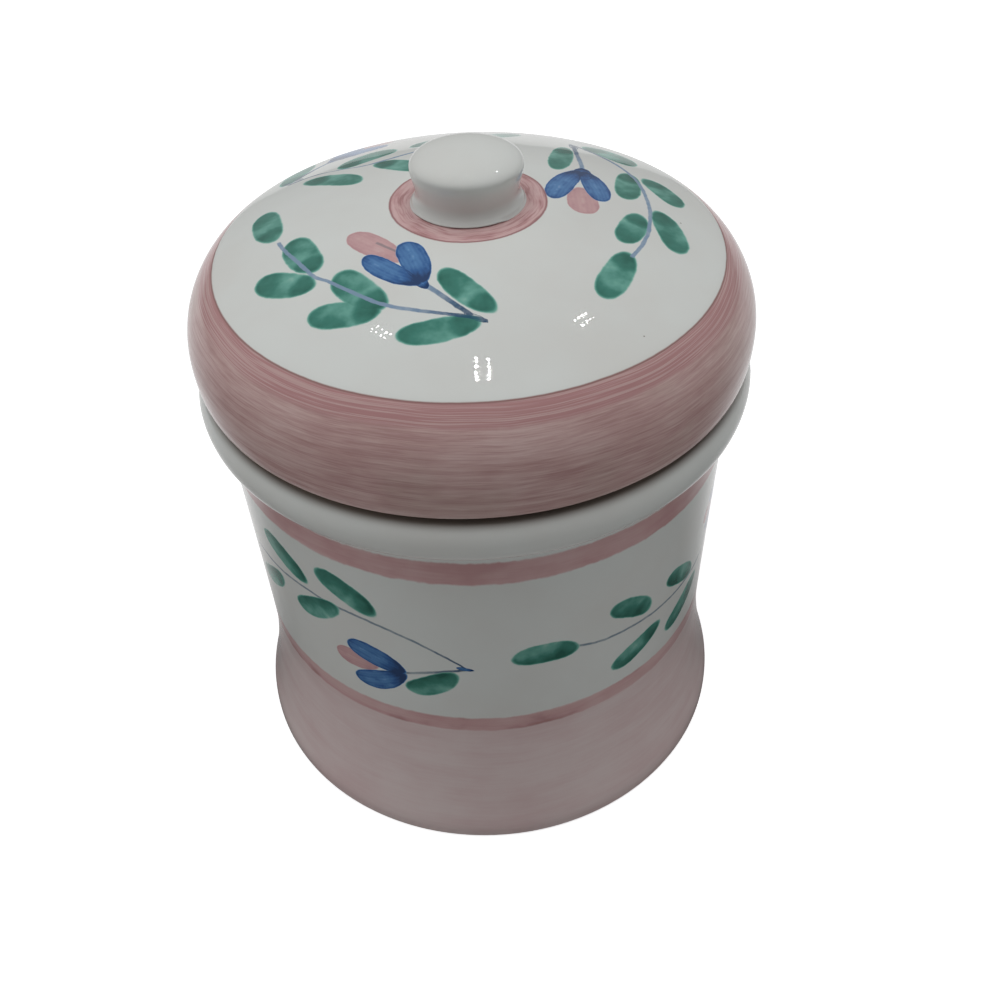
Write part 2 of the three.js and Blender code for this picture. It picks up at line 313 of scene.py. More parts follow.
across = calc(brush_dab, "DIVIDE", calc(brush_dab, "SUBTRACT", side, bowed),
              calc(brush_dab, "MULTIPLY", taken["Width"], 0.5))
bellied = calc(brush_dab, "POWER", calc(brush_dab, "MAXIMUM", along, 0.0), taken["Belly"])
ends = calc(brush_dab, "ABSOLUTE", calc(brush_dab, "MULTIPLY_ADD", bellied, 2.0, -1.0))
inside = calc(brush_dab, "SUBTRACT", 1.0, calc(brush_dab, "POWER", ends, taken["Blunt"]))
inside = calc(brush_dab, "SUBTRACT", inside, calc(brush_dab, "MULTIPLY", across, across))
for label, socket in (("Inside", inside), ("Along", along), ("Across", across)):
    brush_dab.links.new(socket, given[label])

# A leaf: one pale press, a darker touch where it meets the stem, and colour pooled at the tip and edge.
leaf_stroke, taken, given = new_group(
    "leaf stroke",
    [("Point", "v"), ("Start", "v"), ("End", "v"), ("Width", "f"), ("Bow", "f"), ("Mottle", "f"),
     ("Stem Touch", "f"), ("Tip", "f"), ("Pool", "f")],
    [("Pigment", "f")])
dab = placed(leaf_stroke, brush_dab, {
    "Point": taken["Point"], "Start": taken["Start"], "End": taken["End"], "Width": taken["Width"],
    "Bow": taken["Bow"], "Belly": 1.12, "Blunt": 2.7})
cover = ease(leaf_stroke, dab["Inside"], 0.0, 0.42)
touch_end = calc(leaf_stroke, "DIVIDE", calc(leaf_stroke, "SUBTRACT", dab["Along"], 0.14), 0.27)
touch = calc(leaf_stroke, "ADD", calc(leaf_stroke, "MULTIPLY", touch_end, touch_end),
             calc(leaf_stroke, "MULTIPLY", calc(leaf_stroke, "MULTIPLY", dab["Across"], dab["Across"]), 0.8))
touch = calc(leaf_stroke, "MULTIPLY", ease(leaf_stroke, touch, 0.40, 1.30, 1.0, 0.0), taken["Stem Touch"])
tip = calc(leaf_stroke, "MULTIPLY", ease(leaf_stroke, dab["Along"], 0.35, 0.95), taken["Tip"])
pool = calc(leaf_stroke, "MULTIPLY", ease(leaf_stroke, dab["Across"], -0.35, 0.85), taken["Pool"])
edge = calc(leaf_stroke, "MULTIPLY", ease(leaf_stroke, dab["Inside"], 0.08, 0.5, 1.0, 0.0), 0.10)
load = calc(leaf_stroke, "ADD", calc(leaf_stroke, "ADD", touch, tip), calc(leaf_stroke, "ADD", pool, edge))
load = calc(leaf_stroke, "ADD", calc(leaf_stroke, "ADD", load, 0.45),
            calc(leaf_stroke, "MULTIPLY", calc(leaf_stroke, "SUBTRACT", taken["Mottle"], 0.5), 0.95))
leaf_stroke.links.new(calc(leaf_stroke, "MULTIPLY", cover, calc(leaf_stroke, "MAXIMUM", load, 0.28)),
                      given["Pigment"])

# A petal: a press that starts thin, with a dark edge and the streaks that brush hairs leave.
petal_stroke, taken, given = new_group(
    "petal stroke",
    [("Point", "v"), ("Start", "v"), ("End", "v"), ("Width", "f"), ("Bow", "f"), ("Mottle", "f"),
     ("Outline", "f"), ("Root", "f")],
    [("Pigment", "f")])
dab = placed(petal_stroke, brush_dab, {
    "Point": taken["Point"], "Start": taken["Start"], "End": taken["End"], "Width": taken["Width"],
    "Bow": taken["Bow"], "Belly": 1.35, "Blunt": 2.4})
cover = ease(petal_stroke, dab["Inside"], 0.0, 0.2)
edge = calc(petal_stroke, "MULTIPLY", ease(petal_stroke, dab["Inside"], 0.06, 0.40, 1.0, 0.0),
            taken["Outline"])
root = calc(petal_stroke, "MULTIPLY", ease(petal_stroke, dab["Along"], 0.05, 0.48, 1.0, 0.0), taken["Root"])
hairs = calc(petal_stroke, "MULTIPLY_ADD", dab["Along"], 2.2,
             calc(petal_stroke, "MULTIPLY", taken["Mottle"], 8.0))
coarse = calc(petal_stroke, "SINE", calc(petal_stroke, "MULTIPLY_ADD", dab["Across"], 8.5, hairs))
fine = calc(petal_stroke, "SINE", calc(petal_stroke, "MULTIPLY_ADD", dab["Across"], -22.0, hairs))
hairs = calc(petal_stroke, "MULTIPLY_ADD", coarse, 0.05,
             calc(petal_stroke, "MULTIPLY_ADD", fine, 0.035, 0.35))
hairs = calc(petal_stroke, "MULTIPLY_ADD", taken["Mottle"], 0.5, hairs)
middle = ease(petal_stroke, dab["Inside"], 0.40, 0.95, 0.0, -0.12)
load = calc(petal_stroke, "ADD", calc(petal_stroke, "ADD", edge, root),
            calc(petal_stroke, "ADD", hairs, middle))
petal_stroke.links.new(calc(petal_stroke, "MULTIPLY", cover, calc(petal_stroke, "MAXIMUM", load, 0.25)),
                       given["Pigment"])

# A stem drawn with the tip of the brush in one straight pull.
stem_stroke, taken, given = new_group(
    "stem stroke", [("Point", "v"), ("Start", "v"), ("End", "v"), ("Width", "f")], [("Pigment", "f")])
dab = placed(stem_stroke, brush_dab, {
    "Point": taken["Point"], "Start": taken["Start"], "End": taken["End"], "Width": taken["Width"],
    "Bow": 0.0, "Belly": 1.0, "Blunt": 2.0})
off_line = ease(stem_stroke, calc(stem_stroke, "ABSOLUTE", dab["Across"]), 0.5, 1.3, 1.0, 0.0)
within = calc(stem_stroke, "MULTIPLY", ease(stem_stroke, dab["Along"], -0.04, 0.03),
              ease(stem_stroke, dab["Along"], 0.97, 1.04, 1.0, 0.0))
stem_stroke.links.new(calc(stem_stroke, "MULTIPLY", off_line, within), given["Pigment"])

LEAF_COLOURS = [(0.14, (0.42, 0.66, 0.58, 1)), (0.40, (0.155, 0.430, 0.355, 1)),
                (0.66, (0.042, 0.230, 0.178, 1)), (1.0, (0.007, 0.115, 0.082, 1))]
BLUE_COLOURS = [(0.14, (0.30, 0.47, 0.68, 1)), (0.40, (0.095, 0.255, 0.520, 1)),
                (0.70, (0.026, 0.120, 0.345, 1)), (1.0, (0.009, 0.045, 0.150, 1))]
PETAL_PINKS = [(0.14, (0.72, 0.55, 0.54, 1)), (0.45, (0.64, 0.40, 0.405, 1)), (1.0, (0.48, 0.25, 0.27, 1))]
STEM_BLUE = (0.245, 0.350, 0.490, 1)
STEM_NAVY = (0.018, 0.075, 0.160, 1)
WALL_STEM_GREY = (0.200, 0.270, 0.330, 1)


def flat(point):
    """A drawing point in millimetres as a vector."""
    return (point[0], point[1], 0.0)


def strongest(tree, values):
    """The largest of several values."""
    most = values[0]
    for value in values[1:]:
        most = calc(tree, "MAXIMUM", most, value)
    return most


def dabs(tree, group, point, strokes, extra):
    """The strongest pigment of a list of strokes, each a start, an end, a width and a bow."""
    made = []
    for start, end, width, bow in strokes:
        inputs = {"Point": point, "Start": flat(start), "End": flat(end), "Width": width, "Bow": bow, **extra}
        made.append(placed(tree, group, inputs)["Pigment"])
    return strongest(tree, made)


def pulls(tree, point, strokes, width):
    """The strongest pigment of a list of straight stems, each a start and an end."""
    made = []
    for start, end in strokes:
        inputs = {"Point": point, "Start": flat(start), "End": flat(end), "Width": width}
        made.append(placed(tree, stem_stroke, inputs)["Pigment"])
    return strongest(tree, made)


def curve_value(tree, value, points):
    """A hand-drawn line through the points, as a curve of the value."""
    made = add(tree, "ShaderNodeFloatCurve", {"Value": value})
    line = made.mapping.curves[0]
    line.points[0].location = points[0]
    line.points[1].location = points[-1]
    for point in points[1:-1]:
        line.points.new(*point)
    made.mapping.update()
    return made.outputs[0]


def wandering(tree, place, slow, quick):
    """A small wander of a drawing point, as an unsteady hand gives, in millimetres."""
    shifts = []
    for scale, detail, size in ((0.045, 1.0, slow), (0.42, 2.0, quick)):
        made = add(tree, "ShaderNodeTexNoise", {"Vector": place, "Scale": scale, "Detail": detail}).outputs[1]
        made = vector_calc(tree, "SUBTRACT", made, (0.5, 0.5, 0.5))
        shifts.append(vector_calc(tree, "MULTIPLY", made, (size, size, 0)))
    return vector_calc(tree, "ADD", *shifts)


def painted(tree, colour, pigment, colours):
    """The colour with a wash of pigment over it."""
    share = ease(tree, pigment, 0.0, 0.36, 0.0, 0.98)
    return mixed(tree, share, colour, ramp(tree, pigment, colours))


def new_material(name):
    """A material with its Principled shader, and the place of each point on the pot."""
    material = bpy.data.materials.new(name)
    material.use_nodes = True
    tree = material.node_tree
    point = add(tree, "ShaderNodeTexCoord").outputs["Object"]
    where = placed(tree, pot_place, {"Point": point})
    return material, tree, tree.nodes["Principled BSDF"], where


def white_ground(tree, face):
    """White glaze with slow warm clouding and specks."""
    ground = mixed(tree, ease(tree, face["Cloud"], 0.35, 0.75), WHITE_GLAZE, WARM_GLAZE)
    return mixed(tree, calc(tree, "MULTIPLY", face["Speck"], 0.7), ground, SPECK_BROWN)


def glossy(tree, shader, face, extra=None, relief=None):
    """Gloss of a fired glaze: faint smears in the roughness and a soft ripple, with any brush relief."""
    rough = ease(tree, face["Smear"], 0.35, 0.8, GLAZE_ROUGHNESS - 0.01, GLAZE_ROUGHNESS + 0.035)
    if extra is not None:
        rough = calc(tree, "ADD", rough, extra)
    tree.links.new(rough, shader.inputs["Roughness"])
    shader.inputs["IOR"].default_value = GLAZE_IOR
    height = face["Ripple"] if relief is None else calc(tree, "ADD", face["Ripple"], relief)
    bump = add(tree, "ShaderNodeBump",
               {"Height": height, "Distance": RIPPLE_DEPTH, "Strength": RIPPLE_STRENGTH})
    tree.links.new(bump.outputs[0], shader.inputs["Normal"])


jar = turned_piece("jar_body", "jar", TURN_STEPS, UNEVENNESS)
jar_glaze, tree, shader, where = new_material("painted jar glaze")
face = placed(tree, glaze_face, {"Place": where["Place"]})
colour = white_ground(tree, face)

# Sprays round the wall: each a quarter turn from the last, rising and falling by turns.
turned = calc(tree, "FLOORED_MODULO",
              calc(tree, "SUBTRACT", SPRAY_BASE_ANGLE + SPRAY_LEAD, where["Angle"]), 360.0)
spray = calc(tree, "FLOOR", calc(tree, "DIVIDE", turned, SPRAY_SPACING))
run = calc(tree, "SUBTRACT", calc(tree, "FLOORED_MODULO", turned, SPRAY_SPACING), SPRAY_LEAD)
run = calc(tree, "MULTIPLY", run, SPRAY_DEGREE_MM)
falling = calc(tree, "FLOORED_MODULO", spray, 2.0)
rising_height = calc(tree, "SUBTRACT", where["Height"], RISING_BASE_HEIGHT)
falling_height = calc(tree, "SUBTRACT", FALLING_BASE_HEIGHT, where["Height"])
rise = calc(tree, "MULTIPLY_ADD", falling, calc(tree, "SUBTRACT", falling_height, rising_height),
            rising_height)
drawing = add(tree, "ShaderNodeCombineXYZ", {0: run, 1: rise}).outputs[0]
drawing = vector_calc(tree, "ADD", drawing, wandering(tree, where["Place"], 2.0, 0.5))
drawn = add(tree, "ShaderNodeSeparateXYZ", {0: drawing}).outputs
outside = calc(tree, "GREATER_THAN", where["Radius"], OUTSIDE_RADIUS)
stem_at = curve_value(tree, calc(tree, "DIVIDE", drawn[0], STEM_LENGTH), WALL_STEM)
stem_at = calc(tree, "MULTIPLY", stem_at, STEM_RISE)
stem = ease(tree, calc(tree, "ABSOLUTE", calc(tree, "SUBTRACT", drawn[1], stem_at)), 0.22, 0.68, 1.0, 0.0)
stem = calc(tree, "MULTIPLY", stem, calc(tree, "MULTIPLY", ease(tree, drawn[0], 0.0, 0.6),
                                         ease(tree, drawn[0], STEM_LENGTH - 3, STEM_LENGTH - 2, 1.0, 0.0)))
stem = calc(tree, "MULTIPLY", stem, outside)
on_rising = calc(tree, "SUBTRACT", outside, calc(tree, "MULTIPLY", falling, outside))
on_falling = calc(tree, "MULTIPLY", falling, outside)
leaves, pinks, blues = [], [], []
for spray, share in ((RISING_SPRAY, on_rising), (FALLING_SPRAY, on_falling)):
    branch = pulls(tree, drawing, spray["branches"], 1.1)
    leaf = dabs(tree, leaf_stroke, drawing, spray["leaves"],
                {"Mottle": face["Mottle"], "Stem Touch": 0.20, "Tip": 0.08, "Pool": 0.40})
    pink = dabs(tree, petal_stroke, drawing, spray["pinks"],
                {"Mottle": face["Smear"], "Outline": 0.25, "Root": 0.0})
    blue = dabs(tree, petal_stroke, drawing, spray["blues"],
                {"Mottle": face["Smear"], "Outline": 0.34, "Root": 0.50})
    stem = calc(tree, "MAXIMUM", stem, calc(tree, "MULTIPLY", branch, share))
    leaves.append(calc(tree, "MULTIPLY", leaf, share))
    pinks.append(calc(tree, "MULTIPLY", pink, share))
    blues.append(calc(tree, "MULTIPLY", blue, share))
stem_colour = mixed(tree, ease(tree, drawn[0], 1.0, 14.0), STEM_NAVY, WALL_STEM_GREY)
load = ease(tree, face["Smear"], 0.30, 0.60, 0.70, 0.95)
colour = mixed(tree, calc(tree, "MULTIPLY", stem, load), colour, stem_colour)
colour = painted(tree, colour, strongest(tree, leaves), LEAF_COLOURS)
colour = painted(tree, colour, strongest(tree, pinks), PETAL_PINKS)
colour = painted(tree, colour, strongest(tree, blues), BLUE_COLOURS)

# Pink wheel-brushed stripe under the collar, a line at the waist and a thin wash down the foot.
wash = placed(tree, brushed_band, {
    "Round": where["Round"], "Across": where["Height"], "Low": -5.0, "High": FOOT_LINE_LOW + 1.0,
    "Softness": 0.8, "Wander": 1.2, "Fray": 0.6, "Streak Pitch": 1.1, "Breaks": 5.0})
tone = calc(tree, "MULTIPLY_ADD", wash["Blot"], 0.45, calc(
    tree, "MULTIPLY_ADD", wash["Broad"], 0.3, calc(tree, "MULTIPLY", wash["Streak"], 0.25)))
wash_colour = mixed(tree, ease(tree, tone, 0.34, 0.70), WASH_PALE, WASH_DEEP)
colour = mixed(tree, calc(tree, "MULTIPLY", wash["Mask"], outside), colour, wash_colour)
for low, high, fray, blotting in ((STRIPE_LOW, STRIPE_HIGH, 1.2, 0.12),
                                  (FOOT_LINE_LOW, FOOT_LINE_HIGH, 0.9, 0.6)):
    band = placed(tree, brushed_band, {
        "Round": where["Round"], "Across": where["Height"], "Low": low, "High": high, "Softness": 0.5,
        "Wander": 1.5, "Fray": fray, "Streak Pitch": 0.8, "Breaks": 6.0})
    tone = calc(tree, "MULTIPLY_ADD", band["Blot"], 0.5, calc(
        tree, "MULTIPLY_ADD", band["Broad"], 0.25, calc(tree, "MULTIPLY", band["Streak"], 0.25)))
    pink = mixed(tree, ease(tree, tone, 0.36, 0.64), PINK_PALE, PINK_DEEP)
    pink = mixed(tree, ease(tree, band["Blot"], 0.54, 0.68, 0.0, blotting), pink, BLOT_BROWN)
    cover = calc(tree, "MULTIPLY", calc(tree, "MULTIPLY", band["Mask"], 0.96), outside)
    colour = mixed(tree, cover, colour, pink)

# Painted shade: the rim is darkened brown under the lid's edge, where the lid shades it.
gap_shade = calc(tree, "MULTIPLY", ease(tree, where["Radius"], GAP_SHADE_INNER, GAP_SHADE_OUTER, 0.85, 0.0),
            calc(tree, "GREATER_THAN", where["Height"], GAP_SHADE_LOW))
colour = mixed(tree, calc(tree, "MULTIPLY", gap_shade, outside), colour, GAP_SHADE_BROWN)

# Bare clay on the ring that the jar stands on.
grit = grain(tree, where["Place"], 1.6, 4.0, 0.7)
bare = ease(tree, calc(tree, "MULTIPLY_ADD", grit, 0.5, where["Height"]), 0.40, 0.75, 1.0, 0.0)
colour = mixed(tree, bare, colour, mixed(tree, grit, BARE_CLAY, BURNT_CLAY))
tree.links.new(colour, shader.inputs["Base Color"])
glossy(tree, shader, face, calc(tree, "MULTIPLY", bare, 0.75))
jar.data.materials.append(jar_glaze)
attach(jar, "jar")


# Seal
# A ring of soft milky plastic with a lip and two fins, stretched over the lid's flange.
# The lip lies between the lid and the rim, and the fins stand close inside the mouth.

SEAL_EDGE_CREASE = 0.75
SEAL_MILKY = (0.80, 0.78, 0.71, 1)
SEAL_YELLOWED = (0.70, 0.67, 0.58, 1)

seal = turned_piece("lid_seal", "seal_ring", TURN_STEPS, 0.0)
shape = bmesh.new()
shape.from_mesh(seal.data)
crease = shape.edges.layers.float.new("crease_edge")
for edge in shape.edges:
    if edge.calc_face_angle(0) > 0.5:
        edge[crease] = SEAL_EDGE_CREASE
shape.to_mesh(seal.data)
shape.free()
soft_seal, tree, shader, where = new_material("soft milky seal")
dust = grain(tree, where["Place"], 0.4, 4.0, 0.6)
tree.links.new(mixed(tree, dust, SEAL_MILKY, SEAL_YELLOWED), shader.inputs["Base Color"])
tree.links.new(ease(tree, dust, 0.3, 0.7, 0.38, 0.55), shader.inputs["Roughness"])
shader.inputs["Subsurface Weight"].default_value = 0.25
shader.inputs["Subsurface Radius"].default_value = (0.002, 0.0018, 0.0014)
seal.data.materials.append(soft_seal)
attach(seal, "seal")


# Lid
# A slip-cast dome with a rolled rim, and a flange underneath that drops into the jar's mouth.
# The roll is banded in pink on the wheel, and three sprays of leaves are brushed round the dome.

ROLL_CENTRE_RADIUS, ROLL_CENTRE_HEIGHT, ROLL_CURVE = 53.7, 147.0, 24.0
ROLL_OUTSIDE = 21.0
ROLL_LOW = 138.6
ROLL_INNER = 60.0
SEAT_INNER = 68.8
ROLL_EDGE = 22.75
ROLL_DEEP_WIDTH = 6.4
DOME_INSIDE, DOME_FALL = 176.5, -1 / 342
RING_RELIEF = 0.15
RING_CENTRE = (0.5, 0.0, 0.0)
RING_INNER, RING_OUTER = 15.3, 20.6
RING_LOW, RING_HIGH = 176.0, 181.0
EDGE_BROWN = (0.300, 0.160, 0.150, 1)
ROLL_PALE = (0.670, 0.490, 0.468, 1)
ROLL_MID = (0.575, 0.378, 0.362, 1)
ROLL_DARK = (0.480, 0.290, 0.280, 1)
ROLL_OLIVE = (0.500, 0.430, 0.365, 1)
DEEP_BAND_PINK = (0.480, 0.240, 0.245, 1)
RING_PINK = (0.580, 0.335, 0.335, 1)
RING_DEEP = (0.330, 0.150, 0.155, 1)
SEPAL_GREY = (0.200, 0.215, 0.230, 1)
# Painted shade on the lid's bare seat, in the gap over the rim.
SEAT_SHADE_DARK = (0.085, 0.060, 0.045, 1)
SEAT_SHADE_LIGHT = (0.170, 0.125, 0.095, 1)

# Drawing points of the dome's sprays, in millimetres seen from above, right and away from the viewer.
# A curved stem runs round the dome from a start angle, clockwise, and its points give its radius.
FRONT_SPRAY = {
    "leaves": [
        ((-49.6, -6.2), (-55.2, 13.4), 8.8, 0.9),
        ((-36.6, -24.2), (-45.0, -7.0), 9.4, 0.8),
        ((-36.4, -29.4), (-53.2, -21.2), 9.6, 0.6),
        ((-18.8, -41.0), (-32.4, -25.8), 9.6, 0.8),
        ((-19.6, -41.0), (-39.0, -39.2), 8.8, 0.5),
        ((4.0, -46.6), (-17.6, -49.6), 7.8, 0.8),
        ((7.0, -44.8), (-6.8, -29.6), 8.0, 0.6),
    ],
    "blues": [((-10.2, -35.0), (-15.7, -18.1), 7.4, -0.6), ((-10.2, -35.0), (-25.7, -21.8), 6.4, 0.8)],
    "pinks": [((-14.6, -26.4), (-29.8, -11.4), 7.6, 0.0)],
    "sepals": [((-22.4, -17.0), (-16.4, -22.2))],
    "ticks": [((4.8, -47.4), (-1.0, -44.4), 1.7, 0.0)],
    "calyx": [((-9.4, -36.2), (-13.0, -31.2), 3.2, 0.0)],
    "branches": [((1.0, -45.4), (-10.4, -34.6))],
    "base": (3.7, -46.9),
    "stem": (275.5, 90.0, 40.0, 12.0, [
        (0.0, 0.60), (0.097, 0.41), (0.207, 0.35), (0.34, 0.35), (0.426, 0.325), (0.517, 0.317),
        (0.612, 0.358), (0.68, 0.45), (0.773, 0.483), (0.90, 0.65), (1.0, 0.81)]),
}
RIGHT_SPRAY = {
    "leaves": [
        ((40.4, -19.4), (31.6, -38.2), 8.4, 0.4),
        ((45.2, -1.0), (38.3, -16.8), 7.8, 0.4),
        ((49.8, 3.4), (53.6, -16.6), 8.6, 0.6),
        ((44.8, 25.2), (42.0, 4.8), 8.0, 0.4),
        ((48.8, 24.0), (57.4, 8.0), 8.2, 0.5),
        ((33.6, 47.4), (48.0, 33.0), 9.6, 0.8),
        ((28.4, 42.4), (24.2, 18.0), 7.2, 0.4),
    ],
    "blues": [((31.6, 20.8), (22.0, 0.4), 7.2, -0.8), ((31.6, 20.8), (35.6, 1.4), 7.2, 0.6)],
    "pinks": [((30.2, 9.0), (30.2, -6.0), 8.8, 0.0)],
    "sepals": [],
    "ticks": [((30.4, 47.6), (31.4, 40.4), 2.4, 0.0)],
    "calyx": [((31.8, 22.4), (31.2, 13.5), 5.5, 0.0)],
    "branches": [((31.0, 45.0), (31.9, 20.4))],
    "base": (30.6, 46.2),
    "stem": (57.5, 88.0, 44.0, 14.0, [
        (0.0, 0.84), (0.164, 0.65), (0.288, 0.55), (0.406, 0.464), (0.552, 0.336), (0.687, 0.257),
        (0.811, 0.214), (1.0, 0.128)]),
}
BACK_SPRAY = {
    "leaves": [
        ((-53.0, 30.8), (-47.0, 50.4), 8.0, -0.8),
        ((-46.6, 28.6), (-28.0, 16.8), 8.2, 0.8),
        ((-37.0, 31.4), (-20.0, 42.4), 9.6, 0.8),
        ((-26.4, 30.0), (-11.0, 19.4), 8.4, 0.6),
        ((-16.8, 41.2), (-4.6, 53.0), 6.0, -0.6),
        ((-9.6, 38.6), (7.4, 33.0), 8.2, 0.6),
        ((4.4, 48.6), (16.0, 58.6), 8.4, 0.6),
    ],
    "blues": [((-40.2, 44.6), (-33.0, 61.0), 7.4, -0.6), ((-40.0, 44.4), (-23.6, 53.0), 7.4, 0.8)],
    "pinks": [((-34.6, 52.0), (-23.0, 61.6), 7.4, 0.0)],
    "sepals": [],
    "ticks": [((-53.4, 32.0), (-46.6, 33.2), 1.9, 0.0)],
    "calyx": [((-41.0, 43.4), (-37.2, 47.6), 3.2, 0.0)],
    "branches": [((-49.4, 33.2), (-40.6, 44.0))],
    "base": (-52.0, 32.0),
    "stem": (149.0, 66.0, 36.0, 24.0, [
        (0.0, 0.98), (0.10, 0.71), (0.147, 0.48), (0.275, 0.16), (0.52, 0.10), (0.723, 0.20), (0.894, 0.375),
        (1.0, 0.56)]),
}

lid = turned_piece("lid_shell", "lid", TURN_STEPS, UNEVENNESS)
lid_glaze, tree, shader, where = new_material("painted lid glaze")
face = placed(tree, glaze_face, {"Place": where["Place"]})

# The seat under the roll was wiped bare before firing, and its clay is painted near-black as a painted shade
# for the gap over the rim.
bare_shaded_seat = calc(tree, "MULTIPLY", calc(tree, "LESS_THAN", where["Height"], ROLL_LOW),
            calc(tree, "GREATER_THAN", where["Radius"], SEAT_INNER))
seat_shade = mixed(tree, face["Smear"], SEAT_SHADE_DARK, SEAT_SHADE_LIGHT)
colour = mixed(tree, bare_shaded_seat, white_ground(tree, face), seat_shade)
from_roll = add(tree, "ShaderNodeCombineXYZ", {
    0: calc(tree, "SUBTRACT", where["Radius"], ROLL_CENTRE_RADIUS),
    1: calc(tree, "SUBTRACT", where["Height"], ROLL_CENTRE_HEIGHT)}).outputs[0]
roll_parts = add(tree, "ShaderNodeSeparateXYZ", {0: from_roll}).outputs
roll_run = calc(tree, "MULTIPLY", calc(tree, "ARCTAN2", roll_parts[1], roll_parts[0]), ROLL_CURVE)
on_roll = calc(tree, "GREATER_THAN", vector_calc(tree, "LENGTH", from_roll), ROLL_OUTSIDE)
on_roll = calc(tree, "MULTIPLY", on_roll, calc(tree, "GREATER_THAN", where["Height"], ROLL_LOW))
on_roll = calc(tree, "MULTIPLY", on_roll, calc(tree, "GREATER_THAN", where["Radius"], ROLL_INNER))
dome_top = calc(tree, "MULTIPLY", where["Radius"], where["Radius"])
dome_top = calc(tree, "MULTIPLY_ADD", dome_top, DOME_FALL, DOME_INSIDE)
on_dome = calc(tree, "GREATER_THAN", where["Height"], dome_top)

# The sprays, each stroke where a brush put it.
drawing = vector_calc(tree, "ADD", vector_calc(tree, "MULTIPLY", where["Place"], (1, 1, 0)),
                      wandering(tree, where["Place"], 0.9, 0.5))
drawn = add(tree, "ShaderNodeSeparateXYZ", {0: drawing}).outputs
drawn_radius = vector_calc(tree, "LENGTH", drawing)
drawn_turn = calc(tree, "DEGREES", calc(tree, "ARCTAN2", drawn[1], drawn[0]))
leaves, blues, pinks, stems, sepals, bases = [], [], [], [], [], []
for spray in (FRONT_SPRAY, RIGHT_SPRAY, BACK_SPRAY):
    start, sweep, low, span, points = spray["stem"]
    turned = calc(tree, "FLOORED_MODULO", calc(tree, "SUBTRACT", start, drawn_turn), 360.0)
    share = calc(tree, "DIVIDE", turned, sweep)
    stem_at = calc(tree, "MULTIPLY_ADD", curve_value(tree, share, points), span, low)
    off_line = calc(tree, "ABSOLUTE", calc(tree, "SUBTRACT", drawn_radius, stem_at))
    stem = ease(tree, off_line, 0.30, 0.76, 1.0, 0.0)
    stem = calc(tree, "MULTIPLY", stem, ease(tree, share, 0.965, 0.985, 1.0, 0.0))
    stems += [stem, pulls(tree, drawing, spray["branches"], 1.5)]
    leaves.append(dabs(tree, leaf_stroke, drawing, spray["leaves"],
                       {"Mottle": face["Mottle"], "Stem Touch": 0.34, "Tip": 0.30, "Pool": 0.06}))
    pinks.append(dabs(tree, petal_stroke, drawing, spray["pinks"],
                      {"Mottle": face["Smear"], "Outline": 0.22, "Root": 0.0}))
    blues.append(dabs(tree, petal_stroke, drawing, spray["blues"],
                      {"Mottle": face["Smear"], "Outline": 0.34, "Root": 0.45}))
    blues.append(dabs(tree, petal_stroke, drawing, spray["calyx"],
                      {"Mottle": face["Smear"], "Outline": 0.60, "Root": 0.60}))
    stems.append(dabs(tree, petal_stroke, drawing, spray["ticks"],
                      {"Mottle": face["Smear"], "Outline": 0.60, "Root": 0.60}))
    bases.append(vector_calc(tree, "DISTANCE", drawing, flat(spray["base"])))
    if spray["sepals"]:
        sepals.append(pulls(tree, drawing, spray["sepals"], 0.8))
colour = painted(tree, colour, calc(tree, "MULTIPLY", strongest(tree, leaves), on_dome), LEAF_COLOURS)
nearest_base = calc(tree, "MINIMUM", calc(tree, "MINIMUM", bases[0], bases[1]), bases[2])
stem_colour = mixed(tree, ease(tree, nearest_base, 3.0, 20.0), STEM_NAVY, STEM_BLUE)
stem = calc(tree, "MULTIPLY", ease(tree, strongest(tree, stems), 0.15, 0.95), on_dome)
load = ease(tree, face["Smear"], 0.30, 0.60, 0.80, 1.0)
colour = mixed(tree, calc(tree, "MULTIPLY", stem, load), colour, stem_colour)
colour = painted(tree, colour, calc(tree, "MULTIPLY", strongest(tree, pinks), on_dome), PETAL_PINKS)
sepal = calc(tree, "MULTIPLY", calc(tree, "MULTIPLY", sepals[0], on_dome), 0.6)
colour = mixed(tree, sepal, colour, SEPAL_GREY)
colour = painted(tree, colour, calc(tree, "MULTIPLY", strongest(tree, blues), on_dome), BLUE_COLOURS)

# The roll: a thin brown line, a deep band of fine rings, then a broad streaky band to the low edge.
roll = placed(tree, brushed_band, {
    "Round": where["Round"], "Across": roll_run, "Low": -14.0, "High": ROLL_EDGE, "Softness": 0.22,
    "Wander": 0.5, "Fray": 0.15, "Streak Pitch": 0.34, "Breaks": 9.0})
deep = placed(tree, brushed_band, {
    "Round": where["Round"], "Across": roll_run, "Low": ROLL_EDGE - ROLL_DEEP_WIDTH, "High": ROLL_EDGE + 2,
    "Softness": 0.9, "Wander": 1.6, "Fray": 0.8, "Streak Pitch": 0.30, "Breaks": 1.8})
outline = placed(tree, brushed_band, {
    "Round": where["Round"], "Across": roll_run, "Low": ROLL_EDGE - 0.5, "High": ROLL_EDGE + 0.1,
    "Softness": 0.2, "Wander": 0.5, "Fray": 0.15, "Streak Pitch": 1.0, "Breaks": 3.0})
streaks = calc(tree, "MULTIPLY_ADD", roll["Broad"], 0.35, calc(
    tree, "MULTIPLY_ADD", roll["Blot"], 0.25, calc(tree, "MULTIPLY", roll["Streak"], 0.40)))
roll_colour = ramp(tree, streaks, [(0.40, ROLL_DARK), (0.50, ROLL_MID), (0.60, ROLL_PALE)])
roll_colour = mixed(tree, ease(tree, face["Cloud"], 0.50, 0.70, 0.0, 0.22), roll_colour, ROLL_OLIVE)
deep_colour = mixed(tree, ease(tree, deep["Streak"], 0.46, 0.60, 0.0, 0.7), DEEP_BAND_PINK, ROLL_PALE)
roll_colour = mixed(tree, calc(tree, "MULTIPLY", deep["Mask"], 0.85), roll_colour, deep_colour)
roll_colour = mixed(tree, calc(tree, "MULTIPLY", outline["Mask"], 0.9), roll_colour, EDGE_BROWN)
